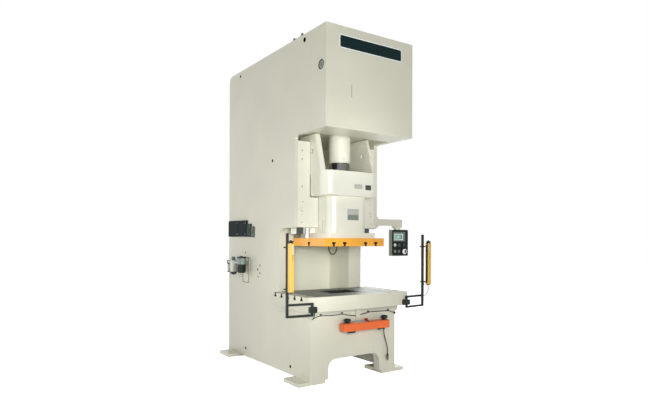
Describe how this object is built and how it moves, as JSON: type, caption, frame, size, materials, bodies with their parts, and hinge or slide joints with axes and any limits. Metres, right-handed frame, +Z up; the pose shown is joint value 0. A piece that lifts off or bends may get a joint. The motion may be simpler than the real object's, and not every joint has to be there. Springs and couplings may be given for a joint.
{
  "type": "mechanical stamping press",
  "caption": "Gap-frame stamping press: C-shaped welded frame, plunger-guided slide over a slotted bolster, eccentric gear drive, swing-out light curtains, two-hand station and pendant.",
  "frame": {"origin": "centre of the anchor-bolt rectangle, on the floor", "axes": "+Z up, +X to the right seen from the operator's side, +Y to the rear"},
  "size_m": [2.173, 2.417, 3.872],
  "materials": {
    "frame_paint": "satin enamel",
    "slide_paint": "satin enamel",
    "plate_paint": "satin enamel",
    "bolster_steel": "machined",
    "guide_steel": "ground",
    "bright_steel": "ground",
    "gear_iron": "machined",
    "bronze": "machined",
    "bolt_steel": "blackened",
    "motor_paint": "satin enamel",
    "belt_rubber": "matt",
    "cable_rubber": "satin",
    "bracket_paint": "satin enamel",
    "curtain_yellow": "satin enamel",
    "station_paint": "satin enamel",
    "black_plastic": "moulded",
    "red_plastic": "moulded",
    "button_plastic": "moulded",
    "pendant_paint": "satin enamel",
    "box_paint": "satin enamel",
    "fitting_metal": "cast"
  },
  "bodies": {
    "root": {"air_unit": "fitting_metal", "base_box": "frame_paint", "bearing_bushes": "bronze", "bolster": "bolster_steel", "cable_clips": "fitting_metal", "column_box": "frame_paint", "crown_cover": "frame_paint", "crown_plates": "frame_paint", "curtain_clamps": "bracket_paint", "flywheel_guard": "frame_paint", "foot_plates": "frame_paint", "front_cable": "cable_rubber", "gib_bolts": "bolt_steel", "gibs": "guide_steel", "junction_boxes": "box_paint", "motor": "motor_paint", "plunger_guide": "slide_paint", "rear_guides": "guide_steel", "rear_plate": "frame_paint", "side_plate_left": "frame_paint", "side_plate_right": "frame_paint", "station_cable": "cable_rubber", "top_breather": "fitting_metal", "two_hand_box": "station_paint", "v_belts": "belt_rubber"},
    "plunger": {"plunger": "bright_steel", "crosshead": "bright_steel"},
    "slide": {"slide": "slide_paint", "slide_plate": "plate_paint", "slide_liners": "bronze", "clamp_nut": "bright_steel", "slide_hose": "cable_rubber", "shank_bush": "bright_steel"},
    "eccentric": {"eccentric_shaft": "bright_steel", "main_gear": "gear_iron"},
    "rod": {"connecting_rod": "gear_iron", "wrist_pin": "bright_steel"},
    "pinion": {"pinion_shaft": "bright_steel", "clutch": "gear_iron"},
    "flywheel": {"flywheel": "gear_iron"},
    "motor_pulley": {"motor_pulley": "gear_iron"},
    "rear_door": {"rear_door": "frame_paint"},
    "door_handle": {"door_handle": "black_plastic"},
    "curtain_left": {"curtain_bracket_left": "bracket_paint", "light_curtain_left": "curtain_yellow"},
    "curtain_right": {"curtain_bracket_right": "bracket_paint", "light_curtain_right": "curtain_yellow", "curtain_cable": "cable_rubber"},
    "pendant_arm": {"pendant_arm": "pendant_paint"},
    "pendant": {"pendant_box": "pendant_paint"},
    "pendant_stop": {"pendant_stop": "red_plastic"},
    "palm_button_left": {"palm_button_left": "black_plastic"},
    "palm_button_right": {"palm_button_right": "black_plastic"},
    "station_stop": {"station_stop": "red_plastic"},
    "regulator_knob": {"regulator_knob": "black_plastic"},
    "pendant_button_1": {"pendant_button_1": "button_plastic"},
    "pendant_button_2": {"pendant_button_2": "button_plastic"},
    "pendant_button_3": {"pendant_button_3": "button_plastic"},
    "pendant_button_4": {"pendant_button_4": "button_plastic"},
    "pendant_button_5": {"pendant_button_5": "button_plastic"}
  },
  "joints": [
    {"name": "slide_travel", "type": "slide", "parent": "root", "child": "plunger", "axis": [0, 0, 1], "range_m": [-0.18, 0]},
    {"name": "shut_height", "type": "slide", "parent": "plunger", "child": "slide", "axis": [0, 0, 1], "range_m": [-0.06, 0]},
    {"name": "eccentric_turn", "type": "hinge", "parent": "root", "child": "eccentric", "pos_m": [0, -0.742, 3.37], "axis": [0, 1, 0], "continuous": true},
    {"name": "rod_turn", "type": "hinge", "parent": "eccentric", "child": "rod", "pos_m": [0, -0.742, 3.46], "axis": [0, 1, 0], "continuous": true},
    {"name": "pinion_turn", "type": "hinge", "parent": "root", "child": "pinion", "pos_m": [0, 0, 2.946], "axis": [0, 1, 0], "continuous": true},
    {"name": "flywheel_turn", "type": "hinge", "parent": "root", "child": "flywheel", "pos_m": [0, 0.345, 2.946], "axis": [0, 1, 0], "continuous": true},
    {"name": "motor_turn", "type": "hinge", "parent": "root", "child": "motor_pulley", "pos_m": [0, 0.345, 2.01], "axis": [0, 1, 0], "continuous": true},
    {"name": "door_swing", "type": "hinge", "parent": "root", "child": "rear_door", "pos_m": [-0.408, 1.048, 1.86], "axis": [0, 0, 1], "range_deg": [0, 110]},
    {"name": "handle_turn", "type": "hinge", "parent": "rear_door", "child": "door_handle", "pos_m": [0.33, 1.05, 1.86], "axis": [0, 1, 0], "range_deg": [-90, 0]},
    {"name": "curtain_swing_left", "type": "hinge", "parent": "root", "child": "curtain_left", "pos_m": [-0.665, -1.19, 0.84], "axis": [0, 0, 1], "range_deg": [0, 90]},
    {"name": "curtain_swing_right", "type": "hinge", "parent": "root", "child": "curtain_right", "pos_m": [0.665, -1.19, 0.84], "axis": [0, 0, 1], "range_deg": [-90, 0]},
    {"name": "arm_swing", "type": "hinge", "parent": "root", "child": "pendant_arm", "pos_m": [0.65, -0.63, 1.798], "axis": [0, 0, 1], "range_deg": [-90, 30]},
    {"name": "pendant_turn", "type": "hinge", "parent": "pendant_arm", "child": "pendant", "pos_m": [1.01, -0.63, 1.72], "axis": [0, 0, 1], "range_deg": [-90, 90]},
    {"name": "pendant_stop_push", "type": "slide", "parent": "pendant", "child": "pendant_stop", "axis": [0, 1, 0], "range_m": [0, 0.006], "stiffness_N_per_m": 1500, "springref_m": -0.004},
    {"name": "palm_push_left", "type": "slide", "parent": "root", "child": "palm_button_left", "axis": [0, 0, -1], "range_m": [0, 0.008], "stiffness_N_per_m": 2500, "springref_m": -0.006},
    {"name": "palm_push_right", "type": "slide", "parent": "root", "child": "palm_button_right", "axis": [0, 0, -1], "range_m": [0, 0.008], "stiffness_N_per_m": 2500, "springref_m": -0.006},
    {"name": "station_stop_push", "type": "slide", "parent": "root", "child": "station_stop", "axis": [0, 0, -1], "range_m": [0, 0.008], "stiffness_N_per_m": 1500, "springref_m": -0.004},
    {"name": "knob_turn", "type": "hinge", "parent": "root", "child": "regulator_knob", "pos_m": [-0.69, 0.722, 1.32], "axis": [0, 0, 1], "range_deg": [0, 1440]},
    {"name": "button_push_1", "type": "slide", "parent": "pendant", "child": "pendant_button_1", "axis": [0, 1, 0], "range_m": [0, 0.005], "stiffness_N_per_m": 600, "springref_m": -0.004},
    {"name": "button_push_2", "type": "slide", "parent": "pendant", "child": "pendant_button_2", "axis": [0, 1, 0], "range_m": [0, 0.005], "stiffness_N_per_m": 600, "springref_m": -0.004},
    {"name": "button_push_3", "type": "slide", "parent": "pendant", "child": "pendant_button_3", "axis": [0, 1, 0], "range_m": [0, 0.005], "stiffness_N_per_m": 600, "springref_m": -0.004},
    {"name": "button_push_4", "type": "slide", "parent": "pendant", "child": "pendant_button_4", "axis": [0, 1, 0], "range_m": [0, 0.005], "stiffness_N_per_m": 600, "springref_m": -0.004},
    {"name": "button_push_5", "type": "slide", "parent": "pendant", "child": "pendant_button_5", "axis": [0, 1, 0], "range_m": [0, 0.005], "stiffness_N_per_m": 600, "springref_m": -0.004}
  ],
  "couplings": [
    {"joint": "eccentric_turn", "follows": "slide_travel", "rad_per_m": -17.453},
    {"joint": "rod_turn", "follows": "slide_travel", "rad_per_m": 17.453},
    {"joint": "pinion_turn", "follows": "slide_travel", "rad_per_m": 85.327},
    {"joint": "motor_turn", "follows": "flywheel_turn", "ratio": 3.9439}
  ]
}
